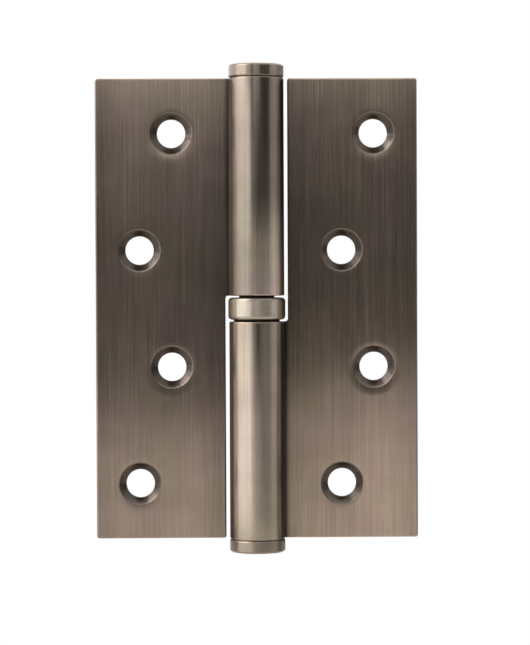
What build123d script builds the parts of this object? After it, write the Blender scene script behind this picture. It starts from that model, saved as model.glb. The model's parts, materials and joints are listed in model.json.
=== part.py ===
"""Lift-off hinge with a ball bearing between its knuckles.

Two leaves of one pattern are rolled from sheet steel. The pin is pressed into the lower
knuckle, and the door leaf drops over it and turns on the bearing.

Millimetres. The pin axis is Z, with the origin on it at half height. The leaves lie flat
open along X, and their countersunk faces look towards -Y.
"""

import os
from math import asin, atan2, cos, degrees, radians, sin, sqrt

from build123d import *

# Leaves
LEAF_HEIGHT = 100.0  # length of each leaf along the pin
OPEN_WIDTH = 70.0  # across both leaves, laid flat
SHEET_THICKNESS = 2.5  # steel sheet that the leaves are rolled from
CLOSED_GAP = 2.0  # space between the two plates when the hinge is shut
SLOT_GAP = 0.8  # from the edge of one leaf to the other leaf's knuckle
SLOT_CORNER_RADIUS = 0.6  # inside corner where the slot meets the knuckle's end
PLATE_CORNER_RADIUS = 0.5  # outside corners of the plate
EDGE_CHAMFER = 0.2  # broken edge where the strip was cut

# Knuckles
BORE_RADIUS = 3.5  # bore that the sheet is rolled to
JOGGLE_RADIUS = 1.0  # inside radius of the reverse bend behind the knuckle
SEAM_GAP = 0.08  # between the end of the curl and the plate that it closes on

# Screw holes
HOLE_RADIUS = 3.1
COUNTERSINK_RADIUS = 4.55
COUNTERSINK_ANGLE = 90.0
COUNTERSINK_RIM_RADIUS = 0.25  # soft rim where the countersink meets the face
HOLE_BACK_CHAMFER = 0.2
HOLE_PITCH = 25.4  # rows along the pin
HOLES_PER_LEAF = 4
NEAR_COLUMN = 18.5  # from the pin axis to the near holes
FAR_COLUMN = 25.5  # from the pin axis to the far holes

# Pin and caps
PIN_RUNNING_CLEARANCE = 0.05  # radial, where the door leaf turns on the pin
PIN_TIP_RADIUS = 1.8  # rounded tip that finds the upper bore
PIN_FOOT_CHAMFER = 0.5
CAP_THICKNESS = 2.8
CAP_SHANK_LENGTH = 8.0
CAP_SHANK_CHAMFER = 0.5
CAP_EDGE_CHAMFER = 0.3
PIN_FOOT_GAP = 2.0  # between the pin's foot and the lower cap's shank
PIN_TIP_GAP = 4.0  # between the pin's tip and the upper cap's shank

# Ball bearing
BEARING_HEIGHT = 5.6  # over both races, which is the space between the knuckles
SLEEVE_HEIGHT = 4.8
SLEEVE_RADIUS = 6.2
SLEEVE_WALL = 0.6
SLEEVE_LIP = 0.55  # thickness of the rolled-in lips
SLEEVE_CORNER_RADIUS = 0.8
SLEEVE_LIP_CLEARANCE = 0.1  # radial, between the lower lip and the boss that it grips
BALL_RADIUS = 0.8
BALL_COUNT = 16
BALL_CLEARANCE = 0.03  # between a ball and its grooves
RACE_GROOVE_DEPTH = 0.3
RACE_BORE_CLEARANCE = 0.1  # radial, between the races and the pin
RACE_TURNING_CLEARANCE = 0.15  # between the upper race and the sleeve round it
RACE_EDGE_CHAMFER = 0.1
UPPER_COLLAR_WALL = 0.3  # thin collar that carries the door leaf's knuckle
LOWER_RACE_STEP = 0.6  # rim of the lower race, which the sleeve's lower lip holds

# Worked out from the sizes above
KNUCKLE_RADIUS = BORE_RADIUS + SHEET_THICKNESS
PLATE_FRONT = CLOSED_GAP / 2
PLATE_BACK = PLATE_FRONT + SHEET_THICKNESS
PLATE_END = OPEN_WIDTH / 2
SLOT_EDGE = KNUCKLE_RADIUS + SLOT_GAP
KNUCKLE_END = BEARING_HEIGHT / 2
CAP_SEAT = LEAF_HEIGHT / 2
PIN_RADIUS = BORE_RADIUS - PIN_RUNNING_CLEARANCE
RACE_BORE_RADIUS = PIN_RADIUS + RACE_BORE_CLEARANCE
UPPER_COLLAR_RADIUS = RACE_BORE_RADIUS + UPPER_COLLAR_WALL
SLEEVE_BORE_RADIUS = SLEEVE_RADIUS - SLEEVE_WALL
LOWER_BOSS_RADIUS = SLEEVE_BORE_RADIUS - LOWER_RACE_STEP
BALL_CIRCLE_RADIUS = (RACE_BORE_RADIUS + SLEEVE_BORE_RADIUS) / 2
LIP_LEVEL = SLEEVE_HEIGHT / 2 - SLEEVE_LIP
RACE_FACE_LEVEL = BALL_RADIUS + BALL_CLEARANCE - RACE_GROOVE_DEPTH

os.makedirs("parts", exist_ok=True)


def polar_point(radius, angle):
    """Point of the leaf's section at a radius and an angle about the pin axis."""
    return (radius * cos(radians(angle)), radius * sin(radians(angle)))


# Section of the leaf: the reverse bend is tangent to the plate and to the roll round the pin
joggle_depth = PLATE_BACK + JOGGLE_RADIUS
joggle_reach = sqrt((KNUCKLE_RADIUS + JOGGLE_RADIUS) ** 2 - joggle_depth**2)
joggle_centre = (-joggle_reach, joggle_depth)
joggle_turn = degrees(atan2(joggle_reach, joggle_depth))
roll_start = 90 + joggle_turn
curl_rise = degrees(asin((PLATE_FRONT - SEAM_GAP) / KNUCKLE_RADIUS))
roll_turn = roll_start + 180 + curl_rise
curl_end = roll_start - roll_turn

# Screw holes, staggered between the two columns
front_face = Plane(origin=(0, PLATE_FRONT, 0), x_dir=(1, 0, 0), z_dir=(0, -1, 0))
hole_places = []
for row in range(HOLES_PER_LEAF):
    column = FAR_COLUMN if row % 2 == 0 else NEAR_COLUMN
    hole_places.append((-column, (row - (HOLES_PER_LEAF - 1) / 2) * HOLE_PITCH))

# Door leaf: one strip, joggled back, rolled round the pin and closed on its own front
with BuildPart() as door_leaf:
    with BuildSketch(Plane.XY.offset(-LEAF_HEIGHT / 2)):
        with BuildLine():
            Line((-PLATE_END, PLATE_BACK), (-joggle_reach, PLATE_BACK))
            CenterArc(joggle_centre, JOGGLE_RADIUS, -90, joggle_turn)
            CenterArc((0, 0), KNUCKLE_RADIUS, roll_start, -roll_turn)
            Line(polar_point(KNUCKLE_RADIUS, curl_end), polar_point(BORE_RADIUS, curl_end))
            CenterArc((0, 0), BORE_RADIUS, roll_start, -roll_turn)
            CenterArc(joggle_centre, JOGGLE_RADIUS + SHEET_THICKNESS, -90, joggle_turn)
            Line((-joggle_reach, PLATE_FRONT), (-PLATE_END, PLATE_FRONT))
            Line((-PLATE_END, PLATE_FRONT), (-PLATE_END, PLATE_BACK))
        make_face()
    extrude(amount=LEAF_HEIGHT)

    # The knuckle is cut away below the bearing, which leaves the slot for the other one
    with BuildSketch(front_face) as slot:
        with BuildLine():
            Polyline(
                (-SLOT_EDGE, -LEAF_HEIGHT),
                (-SLOT_EDGE, KNUCKLE_END),
                (SLOT_EDGE, KNUCKLE_END),
                (SLOT_EDGE, -LEAF_HEIGHT),
                close=True,
            )
        make_face()
        fillet(slot.vertices().group_by(Axis.Z)[-1].sort_by(Axis.X)[0], SLOT_CORNER_RADIUS)
    extrude(amount=SLOT_EDGE + PLATE_FRONT, both=True, mode=Mode.SUBTRACT)

    # Outside corners of the plate, then a broken edge along the cut outline of the strip
    upright_edges = door_leaf.edges().filter_by(Axis.Y).group_by(Axis.Z)
    fillet(upright_edges[0] + upright_edges[-1], PLATE_CORNER_RADIUS)
    side_edges = door_leaf.edges().filter_by(Axis.Z).sort_by(Axis.X)[:4]
    end_edges = door_leaf.edges().filter_by(Axis.X)
    round_edges = door_leaf.edges().filter_by(GeomType.CIRCLE)
    chamfer(side_edges + end_edges + round_edges, EDGE_CHAMFER)

    # Screw holes, countersunk from the front, with soft rims
    with Locations(front_face):
        with Locations(*hole_places):
            CounterSinkHole(
                HOLE_RADIUS, COUNTERSINK_RADIUS, counter_sink_angle=COUNTERSINK_ANGLE
            )
    plate_faces = door_leaf.faces().filter_by(Axis.Y).sort_by(Axis.Y)
    fillet(plate_faces[0].inner_wires().edges(), COUNTERSINK_RIM_RADIUS)
    plate_back = door_leaf.faces().filter_by(Axis.Y).sort_by(Axis.Y)[-1]
    chamfer(plate_back.inner_wires().edges(), HOLE_BACK_CHAMFER)
door_leaf.part.label = "door_leaf"

# Frame leaf: the same pressing, turned end for end
with BuildPart() as frame_leaf:
    add(door_leaf.part, rotation=(0, 180, 0))
frame_leaf.part.label = "frame_leaf"

# Pin: pressed into the frame leaf's knuckle, eased where the door leaf turns on it
pin_foot = PIN_FOOT_GAP + CAP_SHANK_LENGTH - CAP_SEAT
pin_tip = CAP_SEAT - CAP_SHANK_LENGTH - PIN_TIP_GAP
with BuildPart() as hinge_pin:
    with BuildSketch(Plane.XY.offset(pin_foot)):
        Circle(BORE_RADIUS)
    extrude(amount=-KNUCKLE_END - pin_foot)
    with BuildSketch(Plane.XY.offset(-KNUCKLE_END)):
        Circle(PIN_RADIUS)
    extrude(amount=pin_tip + KNUCKLE_END)
    pin_ends = hinge_pin.edges().filter_by(GeomType.CIRCLE).group_by(Axis.Z)
    fillet(pin_ends[-1], PIN_TIP_RADIUS)
    chamfer(pin_ends[0], PIN_FOOT_CHAMFER)
hinge_pin.part.label = "hinge_pin"

# Caps: a round head on a shank that is pressed into the open end of each knuckle
with BuildPart() as upper_cap:
    with BuildSketch(Plane.XY.offset(CAP_SEAT)):
        Circle(KNUCKLE_RADIUS)
    extrude(amount=CAP_THICKNESS)
    chamfer(upper_cap.edges().filter_by(GeomType.CIRCLE), CAP_EDGE_CHAMFER)
    with BuildSketch(Plane.XY.offset(CAP_SEAT)):
        Circle(BORE_RADIUS)
    extrude(amount=-CAP_SHANK_LENGTH)
    chamfer(upper_cap.edges().group_by(Axis.Z)[0], CAP_SHANK_CHAMFER)
upper_cap.part.label = "upper_cap"

with BuildPart() as lower_cap:
    add(upper_cap.part, rotation=(180, 0, 0))
lower_cap.part.label = "lower_cap"

# Bearing sleeve: a thin drawn ring, its lips rolled in over both races
sleeve_end = SLEEVE_HEIGHT / 2
upper_lip_radius = UPPER_COLLAR_RADIUS + RACE_TURNING_CLEARANCE
lower_lip_radius = LOWER_BOSS_RADIUS + SLEEVE_LIP_CLEARANCE
with BuildPart() as bearing_sleeve:
    with BuildSketch(Plane.XZ):
        with BuildLine():
            Polyline(
                (upper_lip_radius, sleeve_end),
                (SLEEVE_RADIUS, sleeve_end),
                (SLEEVE_RADIUS, -sleeve_end),
                (lower_lip_radius, -sleeve_end),
                (lower_lip_radius, -LIP_LEVEL),
                (SLEEVE_BORE_RADIUS, -LIP_LEVEL),
                (SLEEVE_BORE_RADIUS, LIP_LEVEL),
                (upper_lip_radius, LIP_LEVEL),
                close=True,
            )
        make_face()
    revolve(axis=Axis.Z)
    outer_edges = bearing_sleeve.edges().filter_by(GeomType.CIRCLE).group_by(SortBy.RADIUS)[-1]
    fillet(outer_edges, SLEEVE_CORNER_RADIUS)
bearing_sleeve.part.label = "bearing_sleeve"

# Lower race: stands on the frame leaf's knuckle, with the sleeve's lower lip under its rim
with BuildPart() as lower_race:
    with BuildSketch(Plane.XZ) as section:
        with BuildLine():
            Polyline(
                (RACE_BORE_RADIUS, -KNUCKLE_END),
                (LOWER_BOSS_RADIUS, -KNUCKLE_END),
                (LOWER_BOSS_RADIUS, -LIP_LEVEL),
                (SLEEVE_BORE_RADIUS, -LIP_LEVEL),
                (SLEEVE_BORE_RADIUS, -RACE_FACE_LEVEL),
                (RACE_BORE_RADIUS, -RACE_FACE_LEVEL),
                close=True,
            )
        make_face()
        with Locations((BALL_CIRCLE_RADIUS, 0)):
            Circle(BALL_RADIUS + BALL_CLEARANCE, mode=Mode.SUBTRACT)
    revolve(axis=Axis.Z)
    chamfer(lower_race.edges().group_by(Axis.Z)[0], RACE_EDGE_CHAMFER)
lower_race.part.label = "lower_race"

# Upper race: rides on the balls, with a thin collar up through the sleeve's upper lip
upper_race_radius = SLEEVE_BORE_RADIUS - RACE_TURNING_CLEARANCE
upper_race_top = LIP_LEVEL - RACE_TURNING_CLEARANCE
with BuildPart() as upper_race:
    with BuildSketch(Plane.XZ):
        with BuildLine():
            Polyline(
                (RACE_BORE_RADIUS, KNUCKLE_END),
                (UPPER_COLLAR_RADIUS, KNUCKLE_END),
                (UPPER_COLLAR_RADIUS, upper_race_top),
                (upper_race_radius, upper_race_top),
                (upper_race_radius, RACE_FACE_LEVEL),
                (RACE_BORE_RADIUS, RACE_FACE_LEVEL),
                close=True,
            )
        make_face()
        with Locations((BALL_CIRCLE_RADIUS, 0)):
            Circle(BALL_RADIUS + BALL_CLEARANCE, mode=Mode.SUBTRACT)
    revolve(axis=Axis.Z)
    chamfer(upper_race.edges().group_by(Axis.Z)[-1], RACE_EDGE_CHAMFER)
upper_race.part.label = "upper_race"

# Balls, loose between the races
balls = []
for place in PolarLocations(BALL_CIRCLE_RADIUS, BALL_COUNT).local_locations:
    with BuildPart() as bearing_ball:
        with Locations(place):
            Sphere(BALL_RADIUS)
    bearing_ball.part.label = f"bearing_ball_{len(balls) + 1:02d}"
    balls.append(bearing_ball)

leaves = [door_leaf, frame_leaf]
turned_parts = [hinge_pin, upper_cap, lower_cap, bearing_sleeve, lower_race, upper_race]
for piece in leaves + turned_parts + balls:
    export_step(piece.part, f"parts/{piece.part.label}.step")
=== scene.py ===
"""Finishes and studio for a lift-off hinge with a bearing between its knuckles.

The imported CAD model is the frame, and every node keeps its shape and place. The leaves get a
satin finish brushed along the pin, the caps and the bearing sleeve a turned one, and the pin,
races and balls plain steel. The file is laid out as an add-on and run as a script.
"""

import json
from math import cos, radians, sin

import bpy
from bpy.props import FloatProperty, FloatVectorProperty, PointerProperty
from mathutils import Matrix, Vector


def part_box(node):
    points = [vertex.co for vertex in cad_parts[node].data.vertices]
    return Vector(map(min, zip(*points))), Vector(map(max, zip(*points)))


bl_info = {
    "name": "Lift-off hinge",
    "version": (1, 0, 0),
    "blender": (4, 5, 0),
    "location": "View3D > Sidebar > Hinge",
    "description": "Gives a lift-off hinge its finishes and its studio",
    "category": "Object",
}

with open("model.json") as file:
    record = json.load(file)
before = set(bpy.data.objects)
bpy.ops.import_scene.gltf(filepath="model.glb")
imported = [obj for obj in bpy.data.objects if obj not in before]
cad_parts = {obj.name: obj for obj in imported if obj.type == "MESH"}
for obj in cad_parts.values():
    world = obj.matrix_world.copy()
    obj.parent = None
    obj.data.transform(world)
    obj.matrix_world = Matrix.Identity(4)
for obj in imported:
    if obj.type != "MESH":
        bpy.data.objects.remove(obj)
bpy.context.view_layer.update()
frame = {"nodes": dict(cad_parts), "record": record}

MM = 0.001
NUMBER = "NodeSocketFloat"
VECTOR = "NodeSocketVector"
WHITE = (1.0, 1.0, 1.0, 1.0)

# Places on the part, which the finishes follow. A leaf's own finish is made for one that lies
# towards -X, and is turned half round for the other leaf.
KNUCKLE_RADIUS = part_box("upper_cap")[1].x
BEARING_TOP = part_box("bearing_sleeve")[1].z
HOLE_ROWS = 4
HOLE_PITCH = 25.4 * MM
NEAR_COLUMN = 18.5 * MM
FAR_COLUMN = 25.5 * MM
COUNTERSINK_RADIUS = 4.55 * MM
PLATE_FRONT = 1.0 * MM
PLATE_BACK = 3.5 * MM
HALF_TURN = (-1.0, 1.0, -1.0)

# Gloss of the leaves, and how much brushed lines and turned rings streak a gloss
LEAF_ROUGHNESS = 0.174
LEAF_ANISOTROPY = 0.9
COUNTERSINK_DULLNESS = 0.08
LEAF_STREAKS = 0.25
RING_STREAKS = 0.5

# Relief of the metal
SCRATCH_DEPTH = 0.003 * MM
DISH_DEPTH = 0.018 * MM
LEAF_EDGE_RADIUS = 0.2 * MM
TURNED_EDGE_RADIUS = 0.25 * MM

# Tones of the metal. The broad lines and the hue patches are the noise of the fine lines and the
# clouds, enlarged by taking their places times these scales. A knuckle takes this share of the
# paler middle of a plate. The end of the upper knuckle near the bearing is hazy, and its far half
# gets a painted sheen, brighter by its haze times the haze sheen.
OLIVE_TONE = (0.99, 1.01, 0.975)
ROSE_TONE = (1.01, 0.985, 1.02)
BROAD_LINE_SCALE = 0.28
BROAD_LINE_SHARE = 0.4
HUE_PATCH_SCALE = 0.55
ROLL_MARK_CONTRAST = 0.12
KNUCKLE_MIDDLE_SHARE = 0.7
HAZE_SHEEN = 16.0
# Share of painted shade on the sleeve's upper edge, which damps a highlight there
SLEEVE_TOP_SHADE = 0.6

# The floor turns into the white backdrop between two distances behind the hinge
FLOOR_COLOUR = (0.88, 0.855, 0.81)
PAPER_GRAIN_SCALE = 60.0
PAPER_CONTRAST = 0.03
BACKDROP_START = 0.1
BACKDROP_END = 0.28
SKY_LIGHT = 0.4

# Boards and softboxes round the hinge: name, distance, first and last azimuth in degrees, height
# of the foot and of the top, then brightness at the foot, the middle and the top. Azimuth 0 is
# towards the camera, and 90 is to its right.
CARDS = (
    ("front_board_left", 1.7, -20.0, 0.0, -0.12, 0.188, 0.13, 0.15, 0.49),
    ("front_board_right", 1.7, 0.0, 20.0, -0.12, 0.193, 0.0, 0.02, 0.15),
    ("left_softbox", 0.6, -90.0, -23.0, -0.115, 0.1, 1.9, 1.45, 1.7),
    ("upper_left_softbox", 0.6, -90.0, -43.0, 0.1, 0.3, 2.7, 2.7, 1.2),
    ("left_side_board", 0.6, -23.0, -12.0, -0.12, 0.1, 1.1, 0.2, 0.0),
    ("upper_left_board", 0.6, -43.0, -12.0, 0.1, 0.3, 0.35, 0.3, 0.2),
    ("left_flag", 0.55, -172.0, -91.0, -0.12, 0.18, 0.3, 0.0, 3.1),
    ("right_side_board", 0.6, 14.0, 59.0, -0.12, 0.3, 0.42, 0.04, 0.25),
    ("right_softbox", 0.6, 59.0, 86.0, -0.12, 0.3, 0.6, 0.55, 1.2),
    ("right_flag", 0.55, 90.0, 172.0, -0.12, 0.18, 0.0, 0.1, 0.85),
)
CARD_COLUMNS = 12

# The lamp over the hinge: name, place, width, height and brightness
TOP_SOFTBOX = ("top_softbox", (-0.85, -0.3, 0.85), 1.0, 1.0, 3.2)
WATTS_PER_SQUARE_METRE = 4


def colour_property(name, description, default):
    """A colour that a user may change."""
    return FloatVectorProperty(
        name=name, description=description, subtype="COLOR", size=3, min=0.0, max=1.0, default=default
    )


def length_property(name, description, default):
    """A length in metres that a user may change."""
    return FloatProperty(name=name, description=description, unit="LENGTH", min=0.0, default=default)


def share_property(name, description, default):
    """A share from nothing to all."""
    return FloatProperty(
        name=name, description=description, subtype="FACTOR", min=0.0, max=1.0, default=default
    )


class HingeFinish(bpy.types.PropertyGroup):
    """Colours and grain of the hinge's metal."""

    door_leaf_colour: colour_property("Door leaf", "Plating of the door leaf", (0.385, 0.302, 0.245))
    frame_leaf_colour: colour_property("Frame leaf", "Plating of the frame leaf", (0.485, 0.381, 0.305))
    door_knuckle_colour: colour_property("Door knuckle", "Plating of the upper roll", (0.325, 0.27, 0.223))
    frame_knuckle_colour: colour_property("Frame knuckle", "Plating of the lower roll", (0.52, 0.43, 0.35))
    # Countersinks: duller plating, darkened further with painted shade of the recess.
    dull_and_shaded_countersink_colour: colour_property("Countersinks", "Duller plating", (0.18, 0.148, 0.125))
    cap_colour: colour_property("Caps", "Plating of the two caps", (0.32, 0.263, 0.213))
    sleeve_colour: colour_property("Sleeve", "Plating of the bearing sleeve", (0.5, 0.44, 0.365))
    steel_colour: colour_property("Bare steel", "Pin and balls", (0.52, 0.51, 0.50))
    race_colour: colour_property("Races", "Near-black steel", (0.02, 0.018, 0.016))
    grain_width: length_property("Grain width", "Width of a brushed line", 0.24 * MM)
    grain_length: length_property("Grain length", "Length of a brushed line", 22 * MM)
    dish_width: length_property("Dish width", "How far the face sinks round a screw hole", 1.6 * MM)
    dish_drag: length_property("Dish drag", "How far the brushing drags the dishes down", 0.5 * MM)
    cloud_size: length_property("Cloud size", "Size of the soft patches in the plating", 9 * MM)
    roll_mark_size: FloatVectorProperty(
        name="Roll marks",
        description="Size of the faint marks that rolling leaves round the knuckles",
        subtype="XYZ",
        unit="LENGTH",
        default=(1.6 * MM, 1.6 * MM, 0.4 * MM),
    )
    grain_contrast: share_property("Grain contrast", "How much the brushed lines show", 0.4)
    knuckle_smoothness: share_property("Smooth knuckles", "How much less the knuckles are brushed", 0.5)
    cloud_contrast: share_property("Cloud contrast", "How much the soft patches show", 0.22)
    # Edges: rubbed paler, partly a painted highlight
    edge_wear_and_sheen: share_property("Edge wear and sheen", "How pale the rubbed edges are", 0.18)
    middle_paleness: share_property("Middle paleness", "How much paler the middle of each leaf is", 0.24)
    free_edge_paleness: share_property("Free edge paleness", "How much paler the frame leaf's free edge is", 0.36)
    # Painted shade on the sleeve beside the leaves
    painted_side_shade: share_property("Painted side shade", "How dark the sleeve is beside the leaves", 0.8)


class HingeStudio(bpy.types.PropertyGroup):
    """Camera, floor and light round the hinge."""

    camera_place: FloatVectorProperty(
        name="Camera",
        description="Where the camera stands",
        subtype="XYZ",
        unit="LENGTH",
        default=(-0.00575, -0.5095, 0.0075),
    )
    camera_pitch: FloatProperty(
        name="Pitch", description="Upwards tilt of the camera", unit="ROTATION", default=radians(-1.186)
    )
    camera_yaw: FloatProperty(
        name="Yaw", description="Turn of the camera to its right", unit="ROTATION", default=radians(0.845)
    )
    camera_roll: FloatProperty(
        name="Roll", description="Roll of the camera", unit="ROTATION", default=radians(-0.242)
    )
    camera_lens: FloatProperty(
        name="Lens", description="Focal length on a 36 mm sensor", subtype="DISTANCE_CAMERA", default=130.9
    )
    floor_height: FloatProperty(
        name="Floor", description="Height of the floor", unit="LENGTH", default=-0.12
    )
    floor_reach: length_property("Floor reach", "How far the floor reaches in front", 1.7)


def feed(tree, target, value):
    """Links a socket to a node's input, or sets the input's own value."""
    if isinstance(value, bpy.types.NodeSocket):
        tree.links.new(value, target)
    else:
        target.default_value = value


def calculate(tree, operation, *values):
    """Output of a Math node."""
    node = tree.nodes.new("ShaderNodeMath")
    node.operation = operation
    for target, value in zip(node.inputs, values):
        feed(tree, target, value)
    return node.outputs[0]


def multiply(tree, first, *others):
    """Product of numbers."""
    for other in others:
        first = calculate(tree, "MULTIPLY", first, other)
    return first


def calculate_vector(tree, operation, *values):
    """Output of a Vector Math node."""
    node = tree.nodes.new("ShaderNodeVectorMath")
    node.operation = operation
    for target, value in zip(node.inputs, values):
        feed(tree, target, value)
    gives_number = operation in ("DISTANCE", "DOT_PRODUCT", "LENGTH")
    return node.outputs["Value" if gives_number else "Vector"]


def scale_vector(tree, vector, amount):
    """A vector or colour times a number."""
    node = tree.nodes.new("ShaderNodeVectorMath")
    node.operation = "SCALE"
    feed(tree, node.inputs[0], vector)
    feed(tree, node.inputs["Scale"], amount)
    return node.outputs[0]


def combine(tree, x, y, z):
    """A vector made of three numbers."""
    node = tree.nodes.new("ShaderNodeCombineXYZ")
    for target, value in zip(node.inputs, (x, y, z)):
        feed(tree, target, value)
    return node.outputs[0]


def along(tree, vector, axis):
    """How far a vector reaches along an axis, X, Y or Z."""
    node = tree.nodes.new("ShaderNodeSeparateXYZ")
    feed(tree, node.inputs[0], vector)
    return node.outputs[axis]


def away(tree, vector, axis):
    """How far a vector reaches along an axis, either way."""
    return calculate(tree, "ABSOLUTE", along(tree, vector, axis))


def fade(tree, value, start, end):
    """0 before start, 1 past end and a soft step between them."""
    node = tree.nodes.new("ShaderNodeMapRange")
    node.interpolation_type = "SMOOTHSTEP"
    feed(tree, node.inputs["Value"], value)
    feed(tree, node.inputs["From Min"], start)
    feed(tree, node.inputs["From Max"], end)
    return node.outputs[0]


def centred(tree, value, amount):
    """1 plus or minus a share of how far a value is from 0.5."""
    off_middle = calculate(tree, "SUBTRACT", value, 0.5)
    return calculate(tree, "MULTIPLY_ADD", off_middle, amount, 1.0)


def darken(tree, shade):
    """What a shade from 0 to 1 leaves of the light."""
    return calculate(tree, "SUBTRACT", 1.0, shade)


def mix_colour(tree, share, first, second):
    """A colour between two others."""
    node = tree.nodes.new("ShaderNodeMix")
    node.data_type = "RGBA"
    feed(tree, node.inputs["Factor"], share)
    feed(tree, node.inputs["A"], first)
    feed(tree, node.inputs["B"], second)
    return node.outputs["Result"]


def noise(tree, place, detail, roughness=0.5, fourth=None):
    """Noise about 0.5, one unit across."""
    node = tree.nodes.new("ShaderNodeTexNoise")
    node.inputs["Scale"].default_value = 1.0
    node.inputs["Detail"].default_value = detail
    node.inputs["Roughness"].default_value = roughness
    feed(tree, node.inputs["Vector"], place)
    if fourth is not None:
        node.noise_dimensions = "4D"
        feed(tree, node.inputs["W"], fourth)
    return node.outputs["Fac"]


def solid_colour(colour):
    """A property's colour as a socket takes it."""
    return (colour[0], colour[1], colour[2], 1.0)


def new_group(name, inputs, outputs):
    """An empty shader node group with named sockets, its input node and its output node."""
    group = bpy.data.node_groups.new(name, "ShaderNodeTree")
    for label, kind in inputs.items():
        group.interface.new_socket(name=label, in_out="INPUT", socket_type=kind)
    for label, kind in outputs.items():
        group.interface.new_socket(name=label, in_out="OUTPUT", socket_type=kind)
    return group, group.nodes.new("NodeGroupInput"), group.nodes.new("NodeGroupOutput")


def use_group(tree, name, **values):
    """Places a node group in a tree and sets or links its inputs."""
    node = tree.nodes.new("ShaderNodeGroup")
    node.node_tree = bpy.data.node_groups[name]
    for label, value in values.items():
        feed(tree, node.inputs[label], value)
    return node.outputs


def shifted_by_seed(group, place, seed):
    """A place moved to another part of the noise."""
    return calculate_vector(group, "ADD", place, combine(group, seed, seed, seed))


def make_brushed_grain():
    """Lines that run along Z, as a belt leaves them: long and fine ones over broader ones."""
    inputs = {"Place": VECTOR, "Width": NUMBER, "Length": NUMBER, "Seed": NUMBER}
    group, entry, leave = new_group("Brushed grain", inputs, {"Fine": NUMBER, "Broad": NUMBER})
    width = entry.outputs["Width"]
    size = combine(group, width, width, entry.outputs["Length"])
    place = calculate_vector(group, "DIVIDE", entry.outputs["Place"], size)
    place = shifted_by_seed(group, place, entry.outputs["Seed"])
    broad_place = scale_vector(group, place, BROAD_LINE_SCALE)
    feed(group, leave.inputs["Fine"], noise(group, place, detail=2.0, roughness=0.6))
    feed(group, leave.inputs["Broad"], noise(group, broad_place, detail=1.0))


def make_roll_marks():
    """Short marks round the pin, as rolling leaves them."""
    group, entry, leave = new_group("Roll marks", {"Place": VECTOR, "Size": VECTOR}, {"Tone": NUMBER})
    place = calculate_vector(group, "DIVIDE", entry.outputs["Place"], entry.outputs["Size"])
    feed(group, leave.inputs["Tone"], noise(group, place, detail=2.0))


def make_cloudy_tone():
    """Soft patches in the plating, with broader ones in its hue."""
    inputs = {"Place": VECTOR, "Size": NUMBER, "Seed": NUMBER}
    group, entry, leave = new_group("Cloudy plating", inputs, {"Tone": NUMBER, "Hue": NUMBER})
    size = entry.outputs["Size"]
    place = calculate_vector(group, "DIVIDE", entry.outputs["Place"], combine(group, size, size, size))
    place = shifted_by_seed(group, place, entry.outputs["Seed"])
    feed(group, leave.inputs["Tone"], noise(group, place, detail=2.0))
    broad_place = scale_vector(group, place, HUE_PATCH_SCALE)
    feed(group, leave.inputs["Hue"], noise(group, broad_place, detail=1.0))


def make_turned_rings():
    """Rings round the pin axis, as a lathe leaves them on faces and sides."""
    group, entry, leave = new_group("Turned rings", {"Place": VECTOR, "Width": NUMBER}, {"Tone": NUMBER})
    place = entry.outputs["Place"]
    flat = calculate_vector(group, "MULTIPLY", place, (1.0, 1.0, 0.0))
    radius = calculate_vector(group, "LENGTH", flat)
    outward = calculate_vector(group, "NORMALIZE", flat)
    rise = calculate(group, "DIVIDE", along(group, place, "Z"), entry.outputs["Width"])
    round_place = calculate_vector(group, "ADD", outward, combine(group, 0.0, 0.0, rise))
    across = calculate(group, "DIVIDE", radius, entry.outputs["Width"])
    feed(group, leave.inputs["Tone"], noise(group, round_place, detail=2.0, fourth=across))


def make_rubbed_and_glinting_edges():
    """Rounds the light over sharp edges, and says where they are rubbed paler, a line that is partly
    painted highlight.
    """
    group, entry, leave = new_group("Rubbed and glinting edges", {"Radius": NUMBER}, {"Rub and sheen": NUMBER, "Normal": VECTOR})
    bevel = group.nodes.new("ShaderNodeBevel")
    bevel.samples = 6
    feed(group, bevel.inputs["Radius"], entry.outputs["Radius"])
    surface = group.nodes.new("ShaderNodeNewGeometry")
    likeness = calculate_vector(group, "DOT_PRODUCT", bevel.outputs[0], surface.outputs["Normal"])

    # The rounded normal turns away from the face's own as an edge comes near
    feed(group, leave.inputs["Rub and sheen"], fade(group, likeness, 0.995, 0.86))
    feed(group, leave.inputs["Normal"], bevel.outputs[0])


def make_hole_distance():
    """Distance across the plate from the nearest screw hole's axis."""
    group, entry, leave = new_group("Distance from a screw hole", {"Place": VECTOR}, {"Distance": NUMBER})
    flat = calculate_vector(group, "MULTIPLY", entry.outputs["Place"], (1.0, 0.0, 1.0))
    nearest = None
    for row in range(HOLE_ROWS):
        column = FAR_COLUMN if row % 2 == 0 else NEAR_COLUMN
        hole = (-column, 0.0, (row - (HOLE_ROWS - 1) / 2) * HOLE_PITCH)
        distance = calculate_vector(group, "DISTANCE", flat, hole)
        nearest = distance if nearest is None else calculate(group, "MINIMUM", nearest, distance)
    feed(group, leave.inputs["Distance"], nearest)


def make_dished_rims():
    """Height of the face round the screw holes, which the press sinks towards them ever more steeply."""
    group, entry, leave = new_group("Dished rims", {"Place": VECTOR, "Width": NUMBER}, {"Height": NUMBER})
    hole = use_group(group, "Distance from a screw hole", Place=entry.outputs["Place"])["Distance"]
    outside = calculate(group, "SUBTRACT", hole, COUNTERSINK_RADIUS)
    flat_share = calculate(group, "DIVIDE", outside, entry.outputs["Width"])
    steepness = calculate(group, "SUBTRACT", 1.0, calculate(group, "MINIMUM", flat_share, 1.0))
    sunk = multiply(group, steepness, steepness)
    feed(group, leave.inputs["Height"], calculate(group, "SUBTRACT", 1.0, sunk))


def off_the_back(tree, place):
    """0 on the flat back of a leaf and 1 on the rest of it."""
    return fade(tree, along(tree, place, "Y"), PLATE_BACK - 0.05 * MM, PLATE_BACK - 0.2 * MM)


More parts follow.
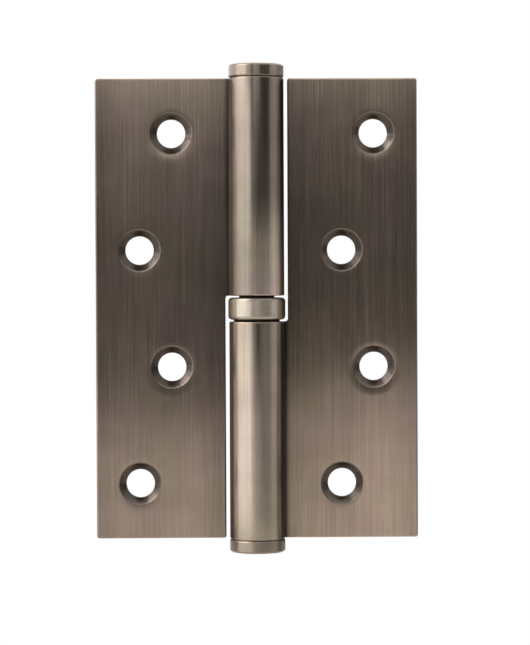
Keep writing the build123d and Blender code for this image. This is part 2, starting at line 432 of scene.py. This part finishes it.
def make_leaf_zones():
    """Where on a leaf its finish changes.

    The shaded crease is the strip of the knuckle beside the plates, where shade is painted. The far half
    of the knuckle is the one that looks away from the leaf's plate. The middle is that of the plate.
    """
    labels = ("Knuckle", "Countersink", "Shaded crease", "Free edge", "Middle", "Bearing end", "Far half")
    group, entry, leave = new_group("Leaf zones", {"Place": VECTOR}, {label: NUMBER for label in labels})
    place = entry.outputs["Place"]
    flat = calculate_vector(group, "MULTIPLY", place, (1.0, 1.0, 0.0))
    from_axis = calculate_vector(group, "LENGTH", flat)
    knuckle = fade(group, from_axis, KNUCKLE_RADIUS + 1.4 * MM, KNUCKLE_RADIUS + 0.1 * MM)
    feed(group, leave.inputs["Knuckle"], knuckle)

    hole = use_group(group, "Distance from a screw hole", Place=place)["Distance"]
    countersink = fade(group, hole, COUNTERSINK_RADIUS + 0.25 * MM, COUNTERSINK_RADIUS)
    feed(group, leave.inputs["Countersink"], multiply(group, countersink, off_the_back(group, place)))

    from_plates = calculate(group, "SUBTRACT", along(group, place, "Y"), PLATE_FRONT)
    from_plates = calculate(group, "ABSOLUTE", from_plates)
    # Mask of the crease, where shade is painted
    corner = fade(group, from_plates, 4.9 * MM, 3.5 * MM)
    feed(group, leave.inputs["Shaded crease"], multiply(group, corner, knuckle))

    outwards = away(group, place, "X")
    off_slot = fade(group, outwards, 6 * MM, 14 * MM)
    off_edge = fade(group, outwards, 36 * MM, 27 * MM)
    feed(group, leave.inputs["Free edge"], fade(group, outwards, 4 * MM, 40 * MM))
    feed(group, leave.inputs["Middle"], multiply(group, off_slot, off_edge))

    near_bearing = fade(group, along(group, place, "Z"), BEARING_TOP + 24 * MM, BEARING_TOP + 8 * MM)
    feed(group, leave.inputs["Bearing end"], multiply(group, near_bearing, knuckle))
    feed(group, leave.inputs["Far half"], fade(group, along(group, place, "X"), -1.5 * MM, 0.5 * MM))


def new_metal(name, roughness, anisotropy):
    """A metal material with its shader, and the place on the node that its textures follow."""
    material = bpy.data.materials.new(name)
    material.use_nodes = True
    tree = material.node_tree
    shader = tree.nodes["Principled BSDF"]
    shader.inputs["Metallic"].default_value = 1.0
    shader.inputs["Roughness"].default_value = roughness
    shader.inputs["Anisotropic"].default_value = anisotropy
    place = tree.nodes.new("ShaderNodeTexCoord").outputs["Object"]
    return material, tree, shader, place


def spread_across_brushing(tree, shader):
    """Reflections spread across lines that run along the pin. The axis is a hair off Z, for the ends."""
    surface = tree.nodes.new("ShaderNodeNewGeometry")
    across = calculate_vector(tree, "CROSS_PRODUCT", (0.02, 0.01, 1.0), surface.outputs["Normal"])
    feed(tree, shader.inputs["Tangent"], across)


def spread_across_turning(tree, shader):
    """Reflections spread across rings round the pin."""
    surface = tree.nodes.new("ShaderNodeNewGeometry")
    ring = calculate_vector(tree, "CROSS_PRODUCT", (0.0, 0.0, 1.0), surface.outputs["Position"])
    across = calculate_vector(tree, "CROSS_PRODUCT", ring, surface.outputs["Normal"])
    feed(tree, shader.inputs["Tangent"], across)


def raised(tree, height, distance, normal, strength=1.0):
    """A normal bumped by a height times a distance in metres."""
    bump = tree.nodes.new("ShaderNodeBump")
    bump.inputs["Distance"].default_value = distance
    feed(tree, bump.inputs["Strength"], strength)
    feed(tree, bump.inputs["Height"], height)
    feed(tree, bump.inputs["Normal"], normal)
    return bump.outputs[0]


def leaf_plating(tree, finish, zone, hue, plate_colour, knuckle_colour, painted_crease_shade):
    """Colour of a leaf: its plate, its knuckle and its countersinks, which are darkened with painted
    shade, in olive and rose patches.

    The corner between a knuckle and the plates is darkened with painted crease shade.
    """
    plating = mix_colour(tree, zone["Knuckle"], solid_colour(plate_colour), solid_colour(knuckle_colour))
    # Painted shade: the countersinks take a darker colour for the shade in their recess, besides duller
    # plating.
    plating = mix_colour(tree, zone["Countersink"], plating, solid_colour(finish.dull_and_shaded_countersink_colour))
    # Painted shade: the plating is darkened in the crease between a knuckle and the plates.
    plating = scale_vector(tree, plating, darken(tree, multiply(tree, zone["Shaded crease"], painted_crease_shade)))
    olive = calculate_vector(tree, "MULTIPLY", plating, OLIVE_TONE)
    rose = calculate_vector(tree, "MULTIPLY", plating, ROSE_TONE)
    return mix_colour(tree, fade(tree, hue, 0.38, 0.62), olive, rose)


def leaf_brightness(tree, finish, place, zone, grain, clouds, rub_and_sheen, free_edge_paleness, haze):
    """Brushed lines, roll marks and patches, on a leaf paler in its middle and at its free edge, with
    painted sheen near the bearing and a pale line on the edges that is partly painted highlight.
    """
    brushing = calculate(tree, "MULTIPLY_ADD", zone["Knuckle"], -finish.knuckle_smoothness, 1.0)
    lines = centred(tree, grain["Fine"], multiply(tree, brushing, finish.grain_contrast * 2))
    marks = use_group(tree, "Roll marks", Place=place, Size=finish.roll_mark_size)["Tone"]
    marks = centred(tree, marks, multiply(tree, zone["Knuckle"], ROLL_MARK_CONTRAST))
    broad_lines = centred(tree, grain["Broad"], finish.grain_contrast * BROAD_LINE_SHARE)
    patches = centred(tree, clouds, finish.cloud_contrast * 2)
    # Paler towards the frame leaf's free edge, and in the middle of each plate
    paler_free_edge = calculate(
        tree, "MULTIPLY_ADD", zone["Free edge"], free_edge_paleness, 1 - free_edge_paleness / 2
    )
    in_middle = calculate(tree, "MAXIMUM", zone["Middle"], multiply(tree, zone["Knuckle"], KNUCKLE_MIDDLE_SHARE))
    least_pale = 1 - KNUCKLE_MIDDLE_SHARE * finish.middle_paleness
    paler_middle = calculate(tree, "MULTIPLY_ADD", in_middle, finish.middle_paleness, least_pale)
    # Painted sheen: the far half of the knuckle end near the bearing is brightened in colour.
    hazy = multiply(tree, haze, zone["Far half"])
    pale = calculate(tree, "MULTIPLY_ADD", hazy, HAZE_SHEEN, 1.0)
    brightness = multiply(tree, lines, marks, broad_lines, patches, paler_free_edge, paler_middle, pale)
    # Pale edge line: partly real wear, partly painted highlight
    return calculate(tree, "ADD", brightness, multiply(tree, rub_and_sheen, finish.edge_wear_and_sheen))


def leaf_metal(
    name, finish, plate_colour, knuckle_colour, turned, free_edge_paleness, painted_crease_shade, lean, haze, seed
):
    """Satin plating brushed along the pin, hazy near the bearing with a painted sheen there, and dull in
    the countersinks, which carry painted shade.

    Lean tips the reflections of the whole leaf, as a leaf does that isn't quite upright.
    """
    material, tree, shader, place = new_metal(name, LEAF_ROUGHNESS, LEAF_ANISOTROPY)
    dragged = calculate_vector(tree, "ADD", place, (0.0, 0.0, finish.dish_drag))
    if turned:
        place = calculate_vector(tree, "MULTIPLY", place, HALF_TURN)
        dragged = calculate_vector(tree, "MULTIPLY", dragged, HALF_TURN)
    grain = use_group(
        tree,
        "Brushed grain",
        Place=place,
        Width=finish.grain_width,
        Length=finish.grain_length,
        Seed=seed,
    )
    cloud = use_group(tree, "Cloudy plating", Place=place, Size=finish.cloud_size, Seed=seed)
    edges = use_group(tree, "Rubbed and glinting edges", Radius=LEAF_EDGE_RADIUS)
    zone = use_group(tree, "Leaf zones", Place=place)
    haze = multiply(tree, zone["Bearing end"], haze)

    plating = leaf_plating(
        tree, finish, zone, cloud["Hue"], plate_colour, knuckle_colour, painted_crease_shade
    )
    brightness = leaf_brightness(
        tree, finish, place, zone, grain, cloud["Tone"], edges["Rub and sheen"], free_edge_paleness, haze
    )
    feed(tree, shader.inputs["Base Color"], scale_vector(tree, plating, brightness))

    roughness = multiply(tree, centred(tree, grain["Fine"], LEAF_STREAKS), LEAF_ROUGHNESS)
    roughness = calculate(tree, "ADD", roughness, haze)
    roughness = calculate(tree, "MULTIPLY_ADD", zone["Countersink"], COUNTERSINK_DULLNESS, roughness)
    feed(tree, shader.inputs["Roughness"], roughness)
    spread_across_brushing(tree, shader)

    dish = use_group(tree, "Dished rims", Place=dragged, Width=finish.dish_width)["Height"]
    normal = raised(tree, dish, DISH_DEPTH, edges["Normal"], strength=off_the_back(tree, place))
    normal = raised(tree, multiply(tree, along(tree, place, "Z"), lean), 1.0, normal)
    normal = raised(tree, grain["Fine"], SCRATCH_DEPTH, normal)
    feed(tree, shader.inputs["Normal"], normal)
    return material


def sleeve_shade(tree, place):
    """Painted shade on the sleeve: on its sides, which face the leaves, and less on its upper edge, where
    it damps a highlight.
    """
    beside = fade(tree, away(tree, place, "Y"), 4.2 * MM, 1.6 * MM)
    at_top = fade(tree, along(tree, place, "Z"), BEARING_TOP - 1.0 * MM, BEARING_TOP - 0.4 * MM)
    return calculate(tree, "MAXIMUM", beside, multiply(tree, at_top, SLEEVE_TOP_SHADE))


def turned_metal(name, colour, finish, roughness, ring_width, anisotropy=0.7, painted_side_shade=0.0):
    """Satin plating with the rings of a lathe, and for the sleeve with painted shade on its sides and
    upper edge.
    """
    material, tree, shader, place = new_metal(name, roughness, anisotropy)
    rings = use_group(tree, "Turned rings", Place=place, Width=ring_width)["Tone"]
    cloud = use_group(tree, "Cloudy plating", Place=place, Size=finish.cloud_size * 0.5, Seed=3.0)
    edges = use_group(tree, "Rubbed and glinting edges", Radius=TURNED_EDGE_RADIUS)
    lines = centred(tree, rings, finish.grain_contrast)
    patches = centred(tree, cloud["Tone"], finish.cloud_contrast * 2)
    # Pale edge line: partly real wear, partly painted highlight
    rubbed = multiply(tree, edges["Rub and sheen"], finish.edge_wear_and_sheen)
    brightness = calculate(tree, "ADD", multiply(tree, lines, patches), rubbed)
    # Painted shade on the sleeve's sides and upper edge
    if painted_side_shade:
        shade = multiply(tree, sleeve_shade(tree, place), painted_side_shade)
        brightness = multiply(tree, brightness, darken(tree, shade))
    feed(tree, shader.inputs["Base Color"], scale_vector(tree, tuple(colour), brightness))
    streaky = multiply(tree, centred(tree, rings, RING_STREAKS), roughness)
    feed(tree, shader.inputs["Roughness"], streaky)
    spread_across_turning(tree, shader)
    feed(tree, shader.inputs["Normal"], raised(tree, rings, SCRATCH_DEPTH, edges["Normal"]))
    return material


def dress(names, material):
    """Gives CAD nodes a finish, through their objects' own material slots."""
    for name in names:
        for slot in frame["nodes"][name].material_slots:
            slot.material = material


def nodes_of(body):
    """Names of the CAD nodes on a body."""
    return frame["record"]["behaviour"]["bodies"][body]


class HINGE_OT_make_effects(bpy.types.Operator):
    """Build the grain, plating and wear that the finishes share"""

    bl_idname = "hinge.make_effects"
    bl_label = "Make Effects"

    def execute(self, context):
        for make in (
            make_brushed_grain,
            make_roll_marks,
            make_cloudy_tone,
            make_turned_rings,
            make_rubbed_and_glinting_edges,
            make_hole_distance,
            make_dished_rims,
            make_leaf_zones,
        ):
            make()
        return {"FINISHED"}


class HINGE_OT_finish_leaves(bpy.types.Operator):
    """Brush the two leaves along the pin"""

    bl_idname = "hinge.finish_leaves"
    bl_label = "Finish Leaves"

    def execute(self, context):
        finish = context.scene.hinge_finish
        door_metal = leaf_metal(
            "Door leaf plating",
            finish,
            finish.door_leaf_colour,
            finish.door_knuckle_colour,
            turned=False,
            free_edge_paleness=0.0,
            painted_crease_shade=0.72,
            lean=0.0,
            haze=0.08,
            seed=0.0,
        )
        frame_metal = leaf_metal(
            "Frame leaf plating",
            finish,
            finish.frame_leaf_colour,
            finish.frame_knuckle_colour,
            turned=True,
            free_edge_paleness=finish.free_edge_paleness,
            painted_crease_shade=0.9,
            lean=-0.009,
            haze=0.0,
            seed=7.3,
        )
        dress(["door_leaf"], door_metal)
        dress(["frame_leaf"], frame_metal)
        return {"FINISHED"}


class HINGE_OT_finish_turned_pieces(bpy.types.Operator):
    """Turn the caps and the bearing sleeve"""

    bl_idname = "hinge.finish_turned_pieces"
    bl_label = "Finish Caps and Sleeve"

    def execute(self, context):
        finish = context.scene.hinge_finish
        caps = turned_metal(
            "Cap plating", finish.cap_colour, finish, roughness=0.22, ring_width=0.12 * MM, anisotropy=0.4
        )
        sleeve = turned_metal(
            "Sleeve plating",
            finish.sleeve_colour,
            finish,
            roughness=0.3,
            ring_width=0.2 * MM,
            painted_side_shade=finish.painted_side_shade,
        )
        dress(["upper_cap", "lower_cap"], caps)
        dress(["bearing_sleeve"], sleeve)
        return {"FINISHED"}


class HINGE_OT_finish_steel(bpy.types.Operator):
    """Leave the pin and balls in bare steel, and make the races near black"""

    bl_idname = "hinge.finish_steel"
    bl_label = "Finish Bare Steel"

    def execute(self, context):
        finish = context.scene.hinge_finish
        pin = turned_metal("Ground steel", finish.steel_colour, finish, roughness=0.2, ring_width=0.1 * MM)
        balls = turned_metal("Ball steel", finish.steel_colour, finish, roughness=0.1, ring_width=0.3 * MM)
        # The races are near black, as dark as the gaps round the sleeve
        races = turned_metal("Near-black races", finish.race_colour, finish, roughness=0.4, ring_width=0.1 * MM)
        dress(["hinge_pin"], pin)
        dress(["lower_race", "upper_race"], races)
        dress(nodes_of("ball_ring"), balls)
        return {"FINISHED"}


def place_camera(studio):
    """The camera, at the photograph's angle."""
    data = bpy.data.cameras.new("camera")
    data.lens = studio.camera_lens
    data.clip_start = 0.01
    camera = bpy.data.objects.new("camera", data)
    bpy.context.scene.collection.objects.link(camera)
    turn = Matrix.Rotation(-studio.camera_yaw, 4, "Z")
    tilt = Matrix.Rotation(radians(90) + studio.camera_pitch, 4, "X")
    roll = Matrix.Rotation(studio.camera_roll, 4, "Z")
    camera.matrix_world = Matrix.Translation(studio.camera_place) @ turn @ tilt @ roll
    bpy.context.scene.camera = camera


def shows_background(tree):
    """1 for the rays that show the background: from the camera, and in metal or glass."""
    path = tree.nodes.new("ShaderNodeLightPath")
    seen = calculate(tree, "MAXIMUM", path.outputs["Is Camera Ray"], path.outputs["Is Glossy Ray"])
    return calculate(tree, "MAXIMUM", seen, path.outputs["Is Transmission Ray"])


def light_world():
    """White all round where it is seen, and a softer sky as a light."""
    world = bpy.data.worlds.new("studio")
    bpy.context.scene.world = world
    world.use_nodes = True
    tree = world.node_tree
    background = tree.nodes["Background"]
    strength = calculate(tree, "MULTIPLY_ADD", shows_background(tree), 1 - SKY_LIGHT, SKY_LIGHT)
    feed(tree, background.inputs["Color"], WHITE)
    feed(tree, background.inputs["Strength"], strength)


def floor_material():
    """Pale paper, which turns into a white backdrop behind the hinge."""
    material = bpy.data.materials.new("Studio floor")
    material.use_nodes = True
    tree = material.node_tree
    shader = tree.nodes["Principled BSDF"]
    shader.inputs["Roughness"].default_value = 1.0
    shader.inputs["Specular IOR Level"].default_value = 0.0
    place = tree.nodes.new("ShaderNodeTexCoord").outputs["Object"]
    paper = noise(tree, scale_vector(tree, place, PAPER_GRAIN_SCALE), detail=3.0)
    paper = centred(tree, paper, PAPER_CONTRAST)
    feed(tree, shader.inputs["Base Color"], scale_vector(tree, FLOOR_COLOUR, paper))
    behind = fade(tree, along(tree, place, "Y"), BACKDROP_START, BACKDROP_END)
    white = tree.nodes.new("ShaderNodeEmission")
    mix = tree.nodes.new("ShaderNodeMixShader")
    feed(tree, mix.inputs[0], multiply(tree, behind, shows_background(tree)))
    feed(tree, mix.inputs[1], shader.outputs[0])
    feed(tree, mix.inputs[2], white.outputs[0])
    feed(tree, tree.nodes["Material Output"].inputs["Surface"], mix.outputs[0])
    return material


def lay_floor(studio):
    """A round floor under the hinge."""
    reach = studio.floor_reach
    steps = range(0, 360, 5)
    corners = [(reach * sin(radians(step)), reach * cos(radians(step)), 0.0) for step in steps]
    mesh = bpy.data.meshes.new("floor")
    mesh.from_pydata(corners, [], [list(range(len(corners)))])
    mesh.materials.append(floor_material())
    floor = bpy.data.objects.new("floor", mesh)
    floor.location.z = studio.floor_height
    bpy.context.scene.collection.objects.link(floor)


def card_material():
    """A card that glows as brightly as its mesh says at each point."""
    material = bpy.data.materials.new("Studio card")
    material.use_nodes = True
    tree = material.node_tree
    tree.nodes.remove(tree.nodes["Principled BSDF"])
    glow = tree.nodes.new("ShaderNodeEmission")
    brightness = tree.nodes.new("ShaderNodeAttribute")
    brightness.attribute_name = "brightness"
    feed(tree, glow.inputs["Strength"], brightness.outputs["Fac"])
    feed(tree, tree.nodes["Material Output"].inputs["Surface"], glow.outputs[0])
    return material


def hang_card(material, name, distance, first, last, foot, top, *brightness):
    """A curved card round the hinge, which the metal reflects."""
    rows = len(brightness)
    points = []
    for column in range(CARD_COLUMNS + 1):
        azimuth = radians(first + (last - first) * column / CARD_COLUMNS)
        for row in range(rows):
            height = foot + (top - foot) * row / (rows - 1)
            points.append((distance * sin(azimuth), -distance * cos(azimuth), height))
    faces = []
    for column in range(CARD_COLUMNS):
        for row in range(rows - 1):
            corner = column * rows + row
            faces.append((corner, corner + 1, corner + rows + 1, corner + rows))
    mesh = bpy.data.meshes.new(name)
    mesh.from_pydata(points, [], faces)
    glow = list(brightness) * (CARD_COLUMNS + 1)
    mesh.attributes.new("brightness", "FLOAT", "POINT").data.foreach_set("value", glow)
    mesh.materials.append(material)
    card = bpy.data.objects.new(name, mesh)
    card.visible_camera = False
    bpy.context.scene.collection.objects.link(card)


def hang_softbox(name, place, width, height, brightness):
    """A soft lamp that faces the hinge."""
    data = bpy.data.lights.new(name, "AREA")
    data.shape = "RECTANGLE"
    data.size = width
    data.size_y = height
    data.energy = WATTS_PER_SQUARE_METRE * width * height * brightness
    lamp = bpy.data.objects.new(name, data)
    lamp.location = place
    lamp.rotation_euler = (-Vector(place)).to_track_quat("-Z", "Y").to_euler()
    lamp.visible_camera = False
    bpy.context.scene.collection.objects.link(lamp)


class HINGE_OT_build_studio(bpy.types.Operator):
    """Lay the floor, hang the lamp and cards and place the camera"""

    bl_idname = "hinge.build_studio"
    bl_label = "Build Studio"

    def execute(self, context):
        studio = context.scene.hinge_studio
        context.scene.view_settings.view_transform = "Standard"
        place_camera(studio)
        light_world()
        lay_floor(studio)
        material = card_material()
        for card in CARDS:
            hang_card(material, *card)
        hang_softbox(*TOP_SOFTBOX)
        return {"FINISHED"}


class HINGE_PT_tools(bpy.types.Panel):
    """The hinge's finishes and studio"""

    bl_idname = "HINGE_PT_tools"
    bl_label = "Lift-off Hinge"
    bl_space_type = "VIEW_3D"
    bl_region_type = "UI"
    bl_category = "Hinge"

    def draw(self, context):
        layout = self.layout
        for settings in (context.scene.hinge_finish, context.scene.hinge_studio):
            box = layout.box()
            for name in settings.__annotations__:
                box.prop(settings, name)
        for operator in OPERATORS:
            layout.operator(operator.bl_idname)


OPERATORS = (
    HINGE_OT_make_effects,
    HINGE_OT_finish_leaves,
    HINGE_OT_finish_turned_pieces,
    HINGE_OT_finish_steel,
    HINGE_OT_build_studio,
)
CLASSES = (HingeFinish, HingeStudio, *OPERATORS, HINGE_PT_tools)


def register():
    for item in CLASSES:
        bpy.utils.register_class(item)
    bpy.types.Scene.hinge_finish = PointerProperty(type=HingeFinish)
    bpy.types.Scene.hinge_studio = PointerProperty(type=HingeStudio)


def unregister():
    del bpy.types.Scene.hinge_studio
    del bpy.types.Scene.hinge_finish
    for item in reversed(CLASSES):
        bpy.utils.unregister_class(item)


def main():
    """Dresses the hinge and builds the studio."""
    register()
    bpy.ops.hinge.make_effects()
    bpy.ops.hinge.finish_leaves()
    bpy.ops.hinge.finish_turned_pieces()
    bpy.ops.hinge.finish_steel()
    bpy.ops.hinge.build_studio()


if __name__ == "__main__":
    main()
